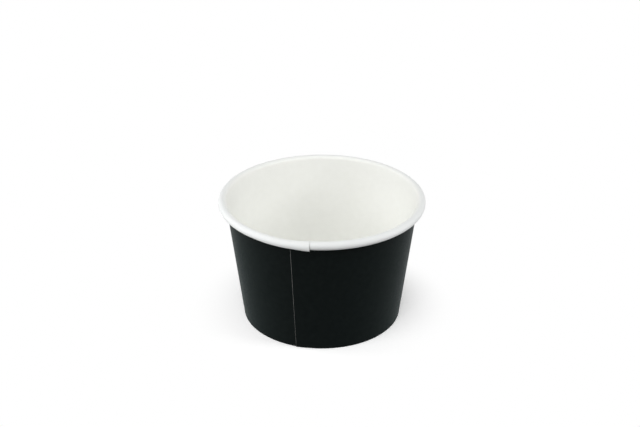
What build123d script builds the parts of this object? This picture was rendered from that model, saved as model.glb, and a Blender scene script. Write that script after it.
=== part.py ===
from build123d import *
from math import asin, atan2, cos, degrees, hypot, radians, sin, tan
import os

# Paper ice cream cup: a printed paperboard sidewall, lapped down one side, rolled at the rim and folded
# under at the base, where it grips the turned-down skirt of a recessed bottom panel.
# Millimetres and degrees. +Z is up, the cup stands on Z = 0 around the Z axis, and the side seam faces -Y.

# Overall form
RIM_DIAMETER = 96.0  # across the outside of the rolled rim
BASE_DIAMETER = 75.0  # across the outside of the wall, at the table
HEIGHT = 60.0  # table to the top of the rolled rim

# Paperboard
WALL_BOARD = 0.4  # thickness of the sidewall blank
PANEL_BOARD = 0.32  # thickness of the bottom panel blank

# Rolled rim
ROLL_DIAMETER = 3.8  # across the outside of the roll
ROLL_SWEEP = 303.0  # how far the board curls, from the wall over the top to its edge
ROLL_FLATS = 11  # narrow flats that the round of the roll is drawn with

# Side seam
SEAM_ANGLE = -90.0  # middle of the lap, as an angle about the cup's axis
LAP_WIDTH = 8.3  # overlap of the two ends of the blank, at half height
LAP_FEATHER = 0.05  # depth at which each lapping end starts, below the face that it climbs onto
LAP_SECTIONS = 5  # sections that each lapping end is drawn through

# Base
PANEL_HEIGHT = 5.6  # table to the upper face of the bottom panel
SEAL_GAP = 0.03  # clearance on each side of the skirt, where the seal is
SKIRT_CLEARANCE = 0.3  # from the skirt's lower edge to the inside of the base fold
FLANGE_CLEARANCE = 1.0  # from the turned-up flange's edge to the underside of the panel
LAP_CLEARANCE = 0.3  # from the inner lapping end down to the panel

# The wall is tangent to the roll, so its lean follows from the base, the rim and the height
ROLL_RADIUS = ROLL_DIAMETER / 2
ROLL_CENTRE = (RIM_DIAMETER / 2 - ROLL_RADIUS, HEIGHT - ROLL_RADIUS)
BASE_RADIUS = BASE_DIAMETER / 2
RUN_OUT = ROLL_CENTRE[0] - BASE_RADIUS
SLANT = hypot(RUN_OUT, ROLL_CENTRE[1])
LEAN = atan2(RUN_OUT, ROLL_CENTRE[1]) - asin((ROLL_RADIUS - WALL_BOARD) / SLANT)
ROLL_END = 180 - degrees(LEAN) - ROLL_SWEEP

# The lap runs round the cup from the outer end of the blank to its inner end
HALF_HEIGHT_RADIUS = BASE_RADIUS + HEIGHT / 2 * tan(LEAN)
LAP_ANGLE = degrees(LAP_WIDTH / HALF_HEIGHT_RADIUS)
OUTER_END = SEAM_ANGLE - LAP_ANGLE / 2

# Depths through the wall, measured square to it from the printed face towards the inside of the cup
PRINTED_FACE = 0.0
MID_BOARD = WALL_BOARD / 2
WHITE_FACE = WALL_BOARD
SKIRT_OUTSIDE = WHITE_FACE + SEAL_GAP
SKIRT_INSIDE = SKIRT_OUTSIDE + PANEL_BOARD
FLANGE_BACK = SKIRT_INSIDE + SEAL_GAP + WALL_BOARD

# Heights in the base
PANEL_UNDERSIDE = PANEL_HEIGHT - PANEL_BOARD
SKIRT_FOOT = WALL_BOARD + SKIRT_CLEARANCE
INNER_LAP_FOOT = PANEL_HEIGHT + LAP_CLEARANCE
OUTER_LAP_FOOT = WALL_BOARD
FLANGE_TOP = PANEL_UNDERSIDE - FLANGE_CLEARANCE


def wall_point(height, depth):
    """A point of the leaning wall, as radius and height."""
    return (BASE_RADIUS + height * tan(LEAN) - depth / cos(LEAN), height)


def roll_points(depth):
    """The roll at a depth of the board, from the curled edge over the top to the wall."""
    radius = ROLL_RADIUS - WALL_BOARD + depth
    turns = [radians(ROLL_END + ROLL_SWEEP * flat / ROLL_FLATS) for flat in range(ROLL_FLATS + 1)]
    return [(ROLL_CENTRE[0] + radius * cos(turn), ROLL_CENTRE[1] + radius * sin(turn)) for turn in turns]


def fold_points(depth):
    """The base fold at a depth of the board, from the wall under the skirt and up the flange."""
    return [
        wall_point(depth, depth),
        wall_point(depth, FLANGE_BACK - depth),
        wall_point(FLANGE_TOP, FLANGE_BACK - depth),
    ]


def lap_section(angle, depth, foot):
    """A lapping end cut on a meridian: roll and wall, from the middle of the board out to a depth."""
    hidden = [*roll_points(MID_BOARD), wall_point(foot, MID_BOARD)]
    shown = [*roll_points(depth), wall_point(foot, depth)]
    with BuildSketch(Plane.XZ.rotated((0, 0, angle))) as section:
        with BuildLine():
            Polyline(*hidden, *reversed(shown), close=True)
        make_face()
    return section.sketch


def lap_sections(first_depth, last_depth, foot):
    """Sections of a lapping end in order round the cup, with its shown face going from depth to depth."""
    shares = [step / (LAP_SECTIONS - 1) for step in range(LAP_SECTIONS)]
    depths = [first_depth + share * (last_depth - first_depth) for share in shares]
    return [lap_section(OUTER_END + share * LAP_ANGLE, depth, foot) for share, depth in zip(shares, depths)]


# Sidewall: one blank, from the curled edge over the roll, down the wall and round the base fold.
# Where its ends lap, the inner end climbs onto the white face and the outer end onto the printed face.
with BuildPart() as sidewall:
    with BuildSketch(Plane.XZ):
        with BuildLine():
            white_side = [*roll_points(WHITE_FACE), *fold_points(WHITE_FACE)]
            printed_side = [*roll_points(PRINTED_FACE), *fold_points(PRINTED_FACE)]
            Polyline(*white_side, *reversed(printed_side), close=True)
        make_face()
    revolve(axis=Axis.Z)
    loft(sections=lap_sections(WHITE_FACE - LAP_FEATHER, WHITE_FACE + WALL_BOARD, INNER_LAP_FOOT))
    loft(sections=lap_sections(PRINTED_FACE - WALL_BOARD, PRINTED_FACE + LAP_FEATHER, OUTER_LAP_FOOT))

# Bottom panel: a flat disc with its edge creased and turned down into the base fold
with BuildPart() as bottom_panel:
    with BuildSketch(Plane.XZ):
        with BuildLine():
            Polyline(
                (0, PANEL_HEIGHT),
                wall_point(PANEL_HEIGHT, SKIRT_OUTSIDE),
                wall_point(SKIRT_FOOT, SKIRT_OUTSIDE),
                wall_point(SKIRT_FOOT, SKIRT_INSIDE),
                wall_point(PANEL_UNDERSIDE, SKIRT_INSIDE),
                (0, PANEL_UNDERSIDE),
                close=True,
            )
        make_face()
    revolve(axis=Axis.Z)

sidewall.part.label = "sidewall"
bottom_panel.part.label = "bottom_panel"

os.makedirs("parts", exist_ok=True)
export_step(sidewall.part, "parts/sidewall.step")
export_step(bottom_panel.part, "parts/bottom_panel.step")
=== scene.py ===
from math import asin, atan2, cos, hypot, pi, radians, sin, tan

import bmesh
import bpy
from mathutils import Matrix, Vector


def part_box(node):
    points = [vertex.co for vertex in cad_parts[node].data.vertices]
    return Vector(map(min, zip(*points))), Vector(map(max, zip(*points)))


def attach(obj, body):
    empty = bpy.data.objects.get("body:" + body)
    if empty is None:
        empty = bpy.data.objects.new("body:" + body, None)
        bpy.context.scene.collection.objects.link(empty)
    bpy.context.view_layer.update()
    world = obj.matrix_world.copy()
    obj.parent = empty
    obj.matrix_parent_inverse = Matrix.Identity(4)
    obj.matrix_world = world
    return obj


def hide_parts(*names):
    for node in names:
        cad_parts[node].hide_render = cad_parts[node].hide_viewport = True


# A paper ice cream cup: a sidewall of printed board, lapped at the front, with a rolled rim and
# a folded base, and a bottom panel held in the fold. Metres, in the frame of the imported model,
# with the seam towards -Y.

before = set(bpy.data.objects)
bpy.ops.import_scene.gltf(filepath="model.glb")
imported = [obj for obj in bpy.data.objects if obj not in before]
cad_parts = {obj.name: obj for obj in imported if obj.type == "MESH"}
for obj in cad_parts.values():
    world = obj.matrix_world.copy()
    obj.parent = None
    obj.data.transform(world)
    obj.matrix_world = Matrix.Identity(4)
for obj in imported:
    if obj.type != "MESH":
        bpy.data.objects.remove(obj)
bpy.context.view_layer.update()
MM = 0.001

# Board
BOARD = 0.4 * MM  # thickness of the sidewall
PANEL_BOARD = 0.32 * MM  # thickness of the bottom panel
SEAL = 0.03 * MM  # clearance on each side of the panel's skirt

# Rolled rim
ROLL_RADIUS = 1.9 * MM
ROLL_SWEEP = radians(303)  # how far the board curls, from the wall over the top to its edge

# Side seam
SEAM_ANGLE = radians(-90)  # middle of the lap
LAP_WIDTH = 8.3 * MM  # at half height
LAP_FADE = 0.3 * MM  # height over which the inner end runs out above the panel
GROOVE_WIDTH = 0.2 * MM  # gap along the inner end, where the boards don't quite meet
GROOVE_DEPTH = 0.28 * MM
SEAM_SAG = 0.4 * MM  # how much lower the roll sits along the lap
SAG_RUN = 20 * MM  # length of rim over which it sinks before the lap
EDGE_WIDTH = 0.08 * MM  # corner of the outer end, where the cut has taken the ink off
EDGE_DROP = 0.03 * MM

# Base
FOOT_LEVEL = 0.1 * MM  # vertices of the frame lower than this are on the table
FOOT_BAND = 1.5 * MM  # height of the finer rows above the base fold
FOLD_RADIUS = 0.42 * MM  # outside of the two bends of the base fold
FOLD_FADE = 0.21 * MM  # height over which the outer end runs out at the fold
PANEL_BEND = 0.55 * MM  # outside of the bend between the panel and its skirt
PANEL_CROWN = 0.2 * MM  # rise of the panel's middle
SKIRT_FOOT = 0.7 * MM
FLANGE_CLEARANCE = 1.0 * MM  # from the flange's edge to the panel above it
KNURLS = 120  # marks that the sealing wheel pressed into the flange
KNURL_DEPTH = 0.09 * MM
KNURL_BAND = (1.0 * MM, 3.7 * MM)  # heights between which the marks run
KNURL_FADE = 0.3 * MM

# What the frame gives. The lap's second layer makes the box a board's thickness higher than the roll.
wall_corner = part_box("sidewall")[1]
panel_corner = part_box("bottom_panel")[1]
wall_points = [vertex.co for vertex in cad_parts["sidewall"].data.vertices]
BASE_RADIUS = max(hypot(point.x, point.y) for point in wall_points if point.z < FOOT_LEVEL)
ROLL_CENTRE = (wall_corner.x - ROLL_RADIUS, wall_corner.z - BOARD - ROLL_RADIUS)
PANEL_TOP = panel_corner.z
PANEL_UNDERSIDE = PANEL_TOP - PANEL_BOARD

# The wall leans out from the base so that it runs into the roll without a bend
RUN_OUT = ROLL_CENTRE[0] - BASE_RADIUS
SLANT = hypot(RUN_OUT, ROLL_CENTRE[1])
LEAN = atan2(RUN_OUT, ROLL_CENTRE[1]) - asin((ROLL_RADIUS - BOARD) / SLANT)
ROLL_START = pi - LEAN

# Directions in a section, as radius and height
INWARD = (-cos(LEAN), sin(LEAN))
OUTWARD = (cos(LEAN), -sin(LEAN))
UP_WALL = (sin(LEAN), cos(LEAN))
DOWN_WALL = (-sin(LEAN), -cos(LEAN))
TO_AXIS = (-1, 0)
FROM_AXIS = (1, 0)

# Axes that a distance is measured along
FROM_THE_AXIS = (1, 1, 0)
FROM_THE_TABLE = (0, 0, 1)

# Depths below the printed face
SKIRT_OUTSIDE = BOARD + SEAL
SKIRT_INSIDE = SKIRT_OUTSIDE + PANEL_BOARD
FLANGE_FRONT = SKIRT_INSIDE + SEAL
FLANGE_BACK = FLANGE_FRONT + BOARD
FLANGE_TOP = PANEL_UNDERSIDE - FLANGE_CLEARANCE

# The lap runs round the cup from the outer end of the blank to its inner end
HALF_HEIGHT_RADIUS = BASE_RADIUS + (ROLL_CENTRE[1] + ROLL_RADIUS) / 2 * tan(LEAN)
LAP_ANGLE = LAP_WIDTH / HALF_HEIGHT_RADIUS
GROOVE_ANGLE = GROOVE_WIDTH / HALF_HEIGHT_RADIUS
SAG_ANGLE = SAG_RUN / ROLL_CENTRE[0]
OUTER_END = SEAM_ANGLE - LAP_ANGLE / 2
INNER_END = SEAM_ANGLE + LAP_ANGLE / 2
LAP_START = OUTER_END + 2 * pi  # the outer end again, after the way round the cup

# Camera, fitted to the photograph
IMAGE_WIDTH = 640
FOCAL_PIXELS = 1155
SENSOR = 36
NEAR_CLIP = 10 * MM
CAMERA_AZIMUTH = radians(12.4)
CAMERA_ELEVATION = radians(26.7)
CAMERA_DISTANCE = 539.7 * MM
TARGET_RIGHT = -0.9 * MM
TARGET_HEIGHT = 50.48 * MM

# Black ink: colours, gloss, grain and relief
INK_DEEP = (0.0036, 0.0044, 0.0042)
INK_THIN = (0.0056, 0.0068, 0.0065)
INK_SHINE = 0.023
INK_SHEEN = 0.027
INK_SHEEN_TINT = (0.3, 1.0, 1.0)
INK_ROUGHNESS = (0.36, 0.5)
INK_ROUGH_GRAIN = 0.9 * MM
INK_MOTTLE = 2.5 * MM
INK_FIBRES = 0.3 * MM
INK_FIBRE_DEPTH = 0.006 * MM
INK_RIPPLE = 9 * MM

# Coated white board
WHITE_DEEP = (0.889, 0.893, 0.86)
WHITE_PALE = (0.909, 0.913, 0.882)
WHITE_SHINE = 0.35
WHITE_ROUGHNESS = (0.45, 0.6)
WHITE_ROUGH_GRAIN = 1.2 * MM
WHITE_MOTTLE = 3 * MM
WHITE_FIBRES = 0.35 * MM
WHITE_FIBRE_DEPTH = 0.008 * MM
WHITE_RIPPLE = 10 * MM
# Painted shade: the roll's outer half is coloured greyer than the inside, so that it renders dimmer than
# the lamps alone make it
RIM_PAINTED_SHADE = (0.776, 0.79, 0.783)
PAINTED_SHADE_FADE = (-0.8, 0.2)  # in roll radii from its centre, where the inside's white goes over into the roll's painted shade
PAINTED_SHADE_BAND = [ROLL_CENTRE[0] + share * ROLL_RADIUS for share in PAINTED_SHADE_FADE]

# Both faces of the sidewall
FIBRE_CURL = 1.2
RIPPLE_DEPTH = 0.02 * MM

# Cut edges of the board
CUT_DEEP = (0.6, 0.59, 0.56)
CUT_PALE = (0.75, 0.74, 0.71)
CUT_SHINE = 0.2
CUT_ROUGHNESS = (0.8, 0.95)
CUT_PLIES = 0.12 * MM
CUT_PLY_CURL = 0.6
CUT_DEPTH = 0.02 * MM

# Worn corner of the outer end
EDGE_BASE = (0.28, 0.28, 0.27)
EDGE_TOP = (0.36, 0.36, 0.35)
EDGE_INK = 0.4  # the most ink that is left on it
EDGE_ROUGHNESS = (0.75, 0.9)
EDGE_WEAR = 0.6 * MM
EDGE_DEPTH = 0.01 * MM

# Uncoated board
PLAIN_DEEP = (0.78, 0.775, 0.74)
PLAIN_PALE = (0.83, 0.825, 0.795)
PLAIN_FLECK = (0.66, 0.645, 0.6)
PLAIN_FLECKS = 0.35  # how strongly the flecks show
PLAIN_SHINE = 0.25
PLAIN_ROUGHNESS = (0.75, 0.95)
PLAIN_CLOUDS = 5 * MM
PLAIN_FIBRES = 0.5 * MM
PLAIN_FIBRE_CURL = 2.0
PLAIN_DEPTH = 0.02 * MM

# Shader nodes
NOISE_RANGE = (0.3, 0.7)  # where most of a noise's values lie
MIX_SHARE = 0  # sockets of a Mix node that mixes colours
MIX_FIRST = 6
MIX_SECOND = 7
MIX_RESULT = 2

# Stage and light
BACKGROUND = 1.0  # the strength that reads as white
FLOOR_SIZE = 6.0
FLOOR_BOUNCE = 0.25  # how much of its light the floor throws back onto the cup
FLOOR_SHADE = 1.0  # how much the light on the floor shows, and so the shadow
FLOOR_GLOW = 0.18  # what lightens the shadow
FLOOR_CLEAR = (35 * MM, 66 * MM)  # distances from the axis between which the floor goes over into white
SKY_LIGHT = 0.35
LAMP_AIM = Vector((0, 0, 30 * MM))
SOFT_BOX = (1.1, 0.5, 0.5)  # distance, width and height
LOW_CARD = (0.5, 0.4, 0.05)
# Each lamp's kind, its bearing from the front towards the right, its elevation and its power in watts
LAMPS = {
    "left": (SOFT_BOX, radians(270), radians(30), 2.6),
    "front_left": (SOFT_BOX, radians(315), radians(30), 2.5),
    "front": (SOFT_BOX, radians(0), radians(50), 3.9),
    "right": (SOFT_BOX, radians(90), radians(30), 4.25),
    "left_card": (LOW_CARD, radians(300), 0.0, 0.8),
    "right_card": (LOW_CARD, radians(90), 0.0, 0.42),
}

# Meshes
SAME_PLACE = 0.0001 * MM  # vertices closer than this are one
SHARP_ANGLE = radians(35)
PANEL_STEPS = 12
ROUND_STEPS = 720
LAP_STEPS = 40
ROLL_STEPS = 44
HIDDEN_ROLL_STEPS = 16
WALL_STEPS = 10
FOOT_STEPS = 3
FLANGE_STEPS = 12
BEND_STEPS = 7


def smooth_step(value, low, high):
    """0 below low, 1 above high, with a soft passage between."""
    share = min(max((value - low) / (high - low), 0.0), 1.0)
    return share * share * (3 - 2 * share)


def wall_point(height, depth):
    """A point of the leaning wall, as radius and height."""
    return (BASE_RADIUS + height * tan(LEAN) - depth / cos(LEAN), height)


def spaced(first, last, steps):
    """Values from first to last, both included."""
    return [first + (last - first) * step / steps for step in range(steps + 1)]


def bend_points(corner, before, after, radius):
    """Points of an arc that rounds a corner, between the directions before and after it."""
    corner = Vector(corner)
    before = Vector(before).normalized()
    after = Vector(after).normalized()
    turn = before.angle(after)
    reach = radius * tan(turn / 2)
    middle = corner + (after - before).normalized() * radius / cos(turn / 2)
    first = corner - before * reach - middle
    last = corner + after * reach - middle
    points = []
    for share in spaced(0, 1, BEND_STEPS):
        point = middle + (first * sin((1 - share) * turn) + last * sin(share * turn)) / sin(turn)
        points.append((point.x, point.y))
    return points


def row(point, way, lap=0.0, knurl=0.0, sag=0.0):
    """One line of a section: its place, the way that the lap or a knurl moves it, and how much it takes
    of the lap, of the knurl and of the roll's sag at the seam."""
    return (*point, *way, lap, knurl, sag)


def roll_rows(radius, sign, steps):
    """Rows round the roll, from the curled edge over the top to the wall."""
    rows = []
    for turn in spaced(ROLL_START - ROLL_SWEEP, ROLL_START, steps):
        way = (cos(turn), sin(turn))
        point = (ROLL_CENTRE[0] + radius * way[0], ROLL_CENTRE[1] + radius * way[1])
        rows.append(row(point, (sign * way[0], sign * way[1]), lap=1.0, sag=1.0))
    return rows


def white_rows():
    """The white face: round the roll, down the inside of the wall and into the base fold."""
    rows = roll_rows(ROLL_RADIUS, 1, ROLL_STEPS)
    top = ROLL_CENTRE[1] + ROLL_RADIUS * sin(ROLL_START)
    above_panel = PANEL_TOP + LAP_FADE
    for height in spaced(top, above_panel, WALL_STEPS)[1:] + [PANEL_TOP, BOARD]:
        lap = smooth_step(height, PANEL_TOP, above_panel)
        rows.append(row(wall_point(height, BOARD), INWARD, lap))
    rows.append(row(wall_point(BOARD, FLANGE_FRONT), INWARD))
    rows.append(row(wall_point(FLANGE_TOP, FLANGE_FRONT), INWARD))
    return rows


def printed_rows():
    """The printed face: inside the roll, down the outer wall, under the fold and up the flange."""
    rows = roll_rows(ROLL_RADIUS - BOARD, -1, HIDDEN_ROLL_STEPS)
    top = ROLL_CENTRE[1] + (ROLL_RADIUS - BOARD) * sin(ROLL_START)
    outer_bend = bend_points(wall_point(0, 0), DOWN_WALL, TO_AXIS, FOLD_RADIUS)
    inner_bend = bend_points(wall_point(0, FLANGE_BACK), TO_AXIS, UP_WALL, FOLD_RADIUS)
    wall_heights = spaced(top, FOOT_BAND, WALL_STEPS)[1:]
    foot_heights = spaced(FOOT_BAND, outer_bend[0][1], FOOT_STEPS)[1:-1]
    for height in wall_heights + foot_heights:
        rows.append(row(wall_point(height, 0), OUTWARD, lap=1.0))
    for point in outer_bend:
        rows.append(row(point, OUTWARD, smooth_step(point[1], 0, FOLD_FADE)))
    for point in inner_bend:
        rows.append(row(point, OUTWARD))
    for height in spaced(inner_bend[-1][1], FLANGE_TOP, FLANGE_STEPS)[1:]:
        pressed = smooth_step(height, KNURL_BAND[0] - KNURL_FADE, KNURL_BAND[0])
        pressed *= 1 - smooth_step(height, KNURL_BAND[1], KNURL_BAND[1] + KNURL_FADE)
        rows.append(row(wall_point(height, FLANGE_BACK), OUTWARD, knurl=pressed))
    return rows


def climb(share):
    """How far an end of the blank has climbed onto the other at a share of the lap."""
    return share * share * (2 - share)


def stations():
    """Angles round the cup in order, each with how far the printed and the white face stand proud there.
    First comes the groove beside the inner end, then the wall, the corner of the outer end and the lap."""
    sunk = -GROOVE_DEPTH / BOARD
    groove = [(INNER_END, 0.0, sunk), (INNER_END + GROOVE_ANGLE / 2, 0.0, sunk)]
    around = [(angle, 0.0, 0.0) for angle in spaced(INNER_END + GROOVE_ANGLE, LAP_START, ROUND_STEPS)]
    corner = [(LAP_START, 1 - EDGE_DROP / BOARD, 0.0)]
    shares = [EDGE_WIDTH / LAP_WIDTH] + spaced(0, 1, LAP_STEPS)[1:]
    lap = [(LAP_START + share * LAP_ANGLE, climb(1 - share), climb(share)) for share in shares]
    return groove + around, corner + lap


def section(rows, angle, proud):
    """The rows of a section in place at an angle, as vertex coordinates."""
    pressed = KNURL_DEPTH * (0.5 - 0.5 * cos(KNURLS * angle))
    sunk = SEAM_SAG * smooth_step(angle, LAP_START - SAG_ANGLE, LAP_START)
    made = []
    for radius, height, way_out, way_up, lap, knurl, sag in rows:
        move = BOARD * proud * lap + pressed * knurl
        reach = radius + move * way_out
        made.append((reach * cos(angle), reach * sin(angle), height + move * way_up - sunk * sag))
    return made


def mesh_piece(name, rings, finishes, swaps):
    """A closed mesh through rings of equal length. Each edge of a ring has a finish, and swaps gives
    the finishes that change in the faces after a ring."""
    made = bmesh.new()
    used = []
    places = [[made.verts.new(point) for point in ring] for ring in rings]
    for index, ring in enumerate(places):
        following = places[(index + 1) % len(places)]
        for edge, finish in enumerate(finishes):
            after = (edge + 1) % len(finishes)
            face = made.faces.new((ring[edge], ring[after], following[after], following[edge]))
            face.smooth = True
            finish = swaps.get(index, {}).get(finish, finish)
            if finish not in used:
                used.append(finish)
            face.material_index = used.index(finish)
    bmesh.ops.remove_doubles(made, verts=made.verts, dist=SAME_PLACE)
    bmesh.ops.recalc_face_normals(made, faces=made.faces)
    mesh = bpy.data.meshes.new(name)
    made.to_mesh(mesh)
    made.free()
    mesh.set_sharp_from_angle(angle=SHARP_ANGLE)
    for finish in used:
        mesh.materials.append(FINISHES[finish])
    piece = bpy.data.objects.new(name, mesh)
    bpy.context.scene.collection.objects.link(piece)
    return piece


def sidewall_piece():
    """The sidewall, from the curled edge to the flange on its white face and back on its printed face."""
    white = white_rows()
    printed = printed_rows()[::-1]
    finishes = ["white"] * (len(white) - 1) + ["cut"] + ["ink"] * (len(printed) - 1) + ["cut"]
    single, lapped = stations()
    rings = []
    for angle, printed_proud, white_proud in single + lapped:
        rings.append(section(white, angle, white_proud) + section(printed, angle, printed_proud))
    blank_end = {"white": "cut", "ink": "cut"}
    swaps = {len(single) - 1: blank_end, len(single): {"ink": "edge"}, len(rings) - 1: blank_end}
    return mesh_piece("sidewall_board", rings, finishes, swaps)


def panel_rise(radius, edge):
    """How far the panel's slightly domed middle stands above its edge."""
    return PANEL_CROWN * (1 - (radius / edge) ** 2) ** 2


def panel_rows():
    """The bottom panel: out along its upper face, down its skirt, and back under it."""
    upper_bend = bend_points(wall_point(PANEL_TOP, SKIRT_OUTSIDE), FROM_AXIS, DOWN_WALL, PANEL_BEND)
    inner_radius = PANEL_BEND - PANEL_BOARD
    lower_bend = bend_points(wall_point(PANEL_UNDERSIDE, SKIRT_INSIDE), UP_WALL, TO_AXIS, inner_radius)
    edge = upper_bend[0][0]
    radii = spaced(0, edge, PANEL_STEPS)
    upper = [(radius, PANEL_TOP + panel_rise(radius, edge)) for radius in radii[:-1]] + upper_bend
    skirt = [wall_point(SKIRT_FOOT, SKIRT_OUTSIDE), wall_point(SKIRT_FOOT, SKIRT_INSIDE)]
    lower = [(radius, PANEL_UNDERSIDE + panel_rise(radius, edge)) for radius in radii[-2::-1]]
    return upper, skirt, lower_bend + lower


def panel_piece():
    """The bottom panel, coated above and plain below."""
    upper, skirt, lower = panel_rows()
    rows = [row(point, OUTWARD) for point in upper + skirt + lower]
    finishes = ["white"] * len(upper) + ["cut"] + ["plain"] * (len(lower) + 1)
    rings = [section(rows, angle, 0.0) for angle in spaced(0, 2 * pi, ROUND_STEPS)[:-1]]
    return mesh_piece("bottom_board", rings, finishes, {})


class Shader:
    """A material's node tree, with short calls for the nodes that these materials share."""

    def __init__(self, name):
        self.material = bpy.data.materials.new(name)
        self.material.use_nodes = True
        self.tree = self.material.node_tree
        self.surface = self.tree.nodes["Principled BSDF"]
        self.place = self.tree.nodes.new("ShaderNodeTexCoord").outputs["Object"]

    def link(self, source, target):
        """Links an output to an input."""
        self.tree.links.new(source, target)

    def noise(self, grain, detail, distortion=0.0):
        """Noise whose grains are about the given size."""
        node = self.tree.nodes.new("ShaderNodeTexNoise")
        node.inputs["Scale"].default_value = 1 / grain
        node.inputs["Detail"].default_value = detail
        node.inputs["Distortion"].default_value = distortion
        self.link(self.place, node.inputs["Vector"])
        return node.outputs["Fac"]

    def spread(self, source, low, high):
        """The middle range of a noise spread from low to high."""
        node = self.tree.nodes.new("ShaderNodeMapRange")
        node.inputs["From Min"].default_value = NOISE_RANGE[0]
        node.inputs["From Max"].default_value = NOISE_RANGE[1]
        node.inputs["To Min"].default_value = low
        node.inputs["To Max"].default_value = high
        self.link(source, node.inputs["Value"])
        return node.outputs["Result"]

    def along(self, axes, low, high):
        """0 at a low and 1 at a high distance from the origin, measured along some of the axes."""
        chosen = self.tree.nodes.new("ShaderNodeVectorMath")
        chosen.operation = "MULTIPLY"
        chosen.inputs[1].default_value = axes
        self.link(self.place, chosen.inputs[0])
        length = self.tree.nodes.new("ShaderNodeVectorMath")
        length.operation = "LENGTH"
        self.link(chosen.outputs["Vector"], length.inputs[0])
        share = self.tree.nodes.new("ShaderNodeMapRange")
        share.inputs["From Min"].default_value = low
        share.inputs["From Max"].default_value = high
        self.link(length.outputs["Value"], share.inputs["Value"])
        return share.outputs["Result"]

    def between(self, share, first, second):
        """A colour between two, by a share."""
        node = self.tree.nodes.new("ShaderNodeMix")
        node.data_type = "RGBA"
        for socket, colour in ((MIX_FIRST, first), (MIX_SECOND, second)):
            if isinstance(colour, tuple):
                node.inputs[socket].default_value = (*colour, 1.0)
            else:
                self.link(colour, node.inputs[socket])
        self.link(share, node.inputs[MIX_SHARE])
        return node.outputs[MIX_RESULT]

    def bump(self, height, depth, below=None):
        """Relief of a depth in metres, laid over any relief below it."""
        node = self.tree.nodes.new("ShaderNodeBump")
        node.inputs["Strength"].default_value = 1.0
        node.inputs["Distance"].default_value = depth
        self.link(height, node.inputs["Height"])
        if below:
            self.link(below, node.inputs["Normal"])
        return node.outputs["Normal"]

    def finish(self, colour, roughness, normal, shine):
        """Links colour, roughness and relief, and sets the strength of the reflection."""
        self.link(colour, self.surface.inputs["Base Color"])
        self.link(roughness, self.surface.inputs["Roughness"])
        self.link(normal, self.surface.inputs["Normal"])
        self.surface.inputs["Specular IOR Level"].default_value = shine
        return self.material


def ink_material():
    """Black ink on coated board: satin, faintly mottled, with the board's fibres under it."""
    shader = Shader("black_ink")
    mottle = shader.spread(shader.noise(INK_MOTTLE, detail=4.0), 0.0, 1.0)
    fibres = shader.noise(INK_FIBRES, detail=3.0, distortion=FIBRE_CURL)
    ripple = shader.noise(INK_RIPPLE, detail=1.0)
    colour = shader.between(mottle, INK_DEEP, INK_THIN)
    roughness = shader.spread(shader.noise(INK_ROUGH_GRAIN, detail=5.0), *INK_ROUGHNESS)
    relief = shader.bump(fibres, INK_FIBRE_DEPTH, shader.bump(ripple, RIPPLE_DEPTH))
    shader.surface.inputs["Sheen Weight"].default_value = INK_SHEEN
    shader.surface.inputs["Sheen Tint"].default_value = (*INK_SHEEN_TINT, 1.0)
    return shader.finish(colour, roughness, relief, INK_SHINE)


def white_material():
    """Coated white board: a soft sheen over faint fibres, and a painted shade that makes it greyer round
    the roll.
    """
    shader = Shader("coated_board")
    mottle = shader.spread(shader.noise(WHITE_MOTTLE, detail=5.0), 0.0, 1.0)
    fibres = shader.noise(WHITE_FIBRES, detail=3.0, distortion=FIBRE_CURL)
    ripple = shader.noise(WHITE_RIPPLE, detail=1.0)
    board = shader.between(mottle, WHITE_DEEP, WHITE_PALE)
    # painted shade: the white goes greyer towards the outside of the roll
    colour = shader.between(shader.along(FROM_THE_AXIS, *PAINTED_SHADE_BAND), board, RIM_PAINTED_SHADE)
    roughness = shader.spread(shader.noise(WHITE_ROUGH_GRAIN, detail=4.0), *WHITE_ROUGHNESS)
    relief = shader.bump(fibres, WHITE_FIBRE_DEPTH, shader.bump(ripple, RIPPLE_DEPTH))
    return shader.finish(colour, roughness, relief, WHITE_SHINE)


def cut_material():
    """The cut edge of the board, with its plies."""
    shader = Shader("cut_board")
    plies = shader.noise(CUT_PLIES, detail=4.0, distortion=CUT_PLY_CURL)
    colour = shader.between(shader.spread(plies, 0.0, 1.0), CUT_DEEP, CUT_PALE)
    roughness = shader.spread(plies, *CUT_ROUGHNESS)
    return shader.finish(colour, roughness, shader.bump(plies, CUT_DEPTH), CUT_SHINE)


def edge_material():
    """The corner of the outer end: board that the cut has bared, paler towards the rim."""
    shader = Shader("worn_edge")
    wear = shader.noise(EDGE_WEAR, detail=4.0)
    bare = shader.between(shader.along(FROM_THE_TABLE, 0, ROLL_CENTRE[1]), EDGE_BASE, EDGE_TOP)
    colour = shader.between(shader.spread(wear, 0.0, EDGE_INK), bare, INK_THIN)
    roughness = shader.spread(wear, *EDGE_ROUGHNESS)
    return shader.finish(colour, roughness, shader.bump(wear, EDGE_DEPTH), CUT_SHINE)


def plain_material():
    """Uncoated board: matt, with visible fibres and a few darker flecks."""
    shader = Shader("plain_board")
    fibres = shader.noise(PLAIN_FIBRES, detail=6.0, distortion=PLAIN_FIBRE_CURL)
    clouds = shader.spread(shader.noise(PLAIN_CLOUDS, detail=4.0), 0.0, 1.0)
    base = shader.between(clouds, PLAIN_DEEP, PLAIN_PALE)
    colour = shader.between(shader.spread(fibres, 0.0, PLAIN_FLECKS), base, PLAIN_FLECK)
    roughness = shader.spread(fibres, *PLAIN_ROUGHNESS)
    return shader.finish(colour, roughness, shader.bump(fibres, PLAIN_DEPTH), PLAIN_SHINE)


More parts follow.
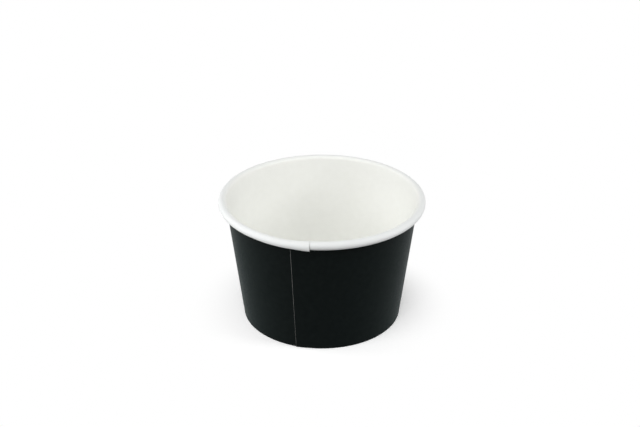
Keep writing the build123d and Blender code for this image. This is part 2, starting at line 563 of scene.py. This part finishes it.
def seen_directly(tree):
    """1 where a surface is seen, also mirrored or through glass, and 0 where it only gives light."""
    path = tree.nodes.new("ShaderNodeLightPath")
    seen = path.outputs["Is Camera Ray"]
    for kind in ("Is Glossy Ray", "Is Transmission Ray"):
        either = tree.nodes.new("ShaderNodeMath")
        either.operation = "MAXIMUM"
        tree.links.new(seen, either.inputs[0])
        tree.links.new(path.outputs[kind], either.inputs[1])
        seen = either.outputs[0]
    return seen


def grey_shader(tree, node_type, level):
    """A diffuse or emission shader of one grey."""
    node = tree.nodes.new(node_type)
    node.inputs["Color"].default_value = (level, level, level, 1.0)
    return node.outputs[0]


def mixed_shaders(tree, share, first, second):
    """Two shaders mixed by a share."""
    node = tree.nodes.new("ShaderNodeMixShader")
    tree.links.new(share, node.inputs[0])
    tree.links.new(first, node.inputs[1])
    tree.links.new(second, node.inputs[2])
    return node.outputs[0]


def floor_distance(tree):
    """0 on the floor round the cup, going over to 1 further away."""
    place = tree.nodes.new("ShaderNodeTexCoord").outputs["Object"]
    length = tree.nodes.new("ShaderNodeVectorMath")
    length.operation = "LENGTH"
    tree.links.new(place, length.inputs[0])
    share = tree.nodes.new("ShaderNodeMapRange")
    share.interpolation_type = "SMOOTHSTEP"
    share.inputs["From Min"].default_value = FLOOR_CLEAR[0]
    share.inputs["From Max"].default_value = FLOOR_CLEAR[1]
    tree.links.new(length.outputs["Value"], share.inputs["Value"])
    return share.outputs["Result"]


def floor_material():
    """A pale finish that keeps the shadow near the cup and is plain white further away."""
    material = bpy.data.materials.new("floor")
    material.use_nodes = True
    tree = material.node_tree
    tree.nodes.remove(tree.nodes["Principled BSDF"])
    near = tree.nodes.new("ShaderNodeAddShader")
    tree.links.new(grey_shader(tree, "ShaderNodeBsdfDiffuse", FLOOR_SHADE), near.inputs[0])
    tree.links.new(grey_shader(tree, "ShaderNodeEmission", FLOOR_GLOW), near.inputs[1])
    white = grey_shader(tree, "ShaderNodeEmission", BACKGROUND)
    shown = mixed_shaders(tree, floor_distance(tree), near.outputs[0], white)
    bounce = grey_shader(tree, "ShaderNodeBsdfDiffuse", FLOOR_BOUNCE)
    whole = mixed_shaders(tree, seen_directly(tree), bounce, shown)
    tree.links.new(whole, tree.nodes["Material Output"].inputs["Surface"])
    return material


def make_floor():
    """A level floor under the cup."""
    half = FLOOR_SIZE / 2
    corners = [(-half, -half, 0), (half, -half, 0), (half, half, 0), (-half, half, 0)]
    mesh = bpy.data.meshes.new("floor")
    mesh.from_pydata(corners, [], [(0, 1, 2, 3)])
    mesh.materials.append(floor_material())
    floor = bpy.data.objects.new("floor", mesh)
    bpy.context.scene.collection.objects.link(floor)


def make_world():
    """A surround that looks white and lights the cup evenly."""
    world = bpy.data.worlds.new("surround")
    world.use_nodes = True
    bpy.context.scene.world = world
    tree = world.node_tree
    sky = tree.nodes["Background"]
    sky.inputs["Color"].default_value = (1, 1, 1, 1)
    level = tree.nodes.new("ShaderNodeMapRange")
    level.inputs["To Min"].default_value = SKY_LIGHT
    level.inputs["To Max"].default_value = BACKGROUND
    tree.links.new(seen_directly(tree), level.inputs["Value"])
    tree.links.new(level.outputs["Result"], sky.inputs["Strength"])


def make_lamp(name, kind, bearing, elevation, power):
    """A soft lamp that faces the cup."""
    distance, width, height = kind
    light = bpy.data.lights.new(name, "AREA")
    light.shape = "RECTANGLE"
    light.size = width
    light.size_y = height
    light.energy = power
    way = Vector((sin(bearing) * cos(elevation), -cos(bearing) * cos(elevation), sin(elevation)))
    lamp = bpy.data.objects.new(name, light)
    lamp.visible_camera = False
    lamp.location = LAMP_AIM + way * distance
    lamp.rotation_euler = (-way).to_track_quat("-Z", "Y").to_euler()
    bpy.context.scene.collection.objects.link(lamp)


def make_camera():
    """The camera of the photograph."""
    data = bpy.data.cameras.new("camera")
    data.sensor_width = SENSOR
    data.lens = SENSOR * FOCAL_PIXELS / IMAGE_WIDTH
    data.clip_start = NEAR_CLIP
    right = Vector((cos(CAMERA_AZIMUTH), sin(CAMERA_AZIMUTH), 0))
    flat = Vector((sin(CAMERA_AZIMUTH), -cos(CAMERA_AZIMUTH), 0))
    back = flat * cos(CAMERA_ELEVATION) + Vector((0, 0, sin(CAMERA_ELEVATION)))
    camera = bpy.data.objects.new("camera", data)
    camera.location = right * TARGET_RIGHT + Vector((0, 0, TARGET_HEIGHT)) + back * CAMERA_DISTANCE
    camera.rotation_euler = (-back).to_track_quat("-Z", "Y").to_euler()
    bpy.context.scene.collection.objects.link(camera)
    bpy.context.scene.camera = camera


def dress(piece, node):
    """Puts a piece in the place of a node of the frame."""
    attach(piece, "root")
    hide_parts(node)


FINISHES = {
    "white": white_material(),
    "ink": ink_material(),
    "cut": cut_material(),
    "edge": edge_material(),
    "plain": plain_material(),
}
dress(sidewall_piece(), "sidewall")
dress(panel_piece(), "bottom_panel")
make_floor()
make_world()
for lamp_name, lamp_values in LAMPS.items():
    make_lamp(lamp_name, *lamp_values)
make_camera()
bpy.context.scene.view_settings.view_transform = "Standard"
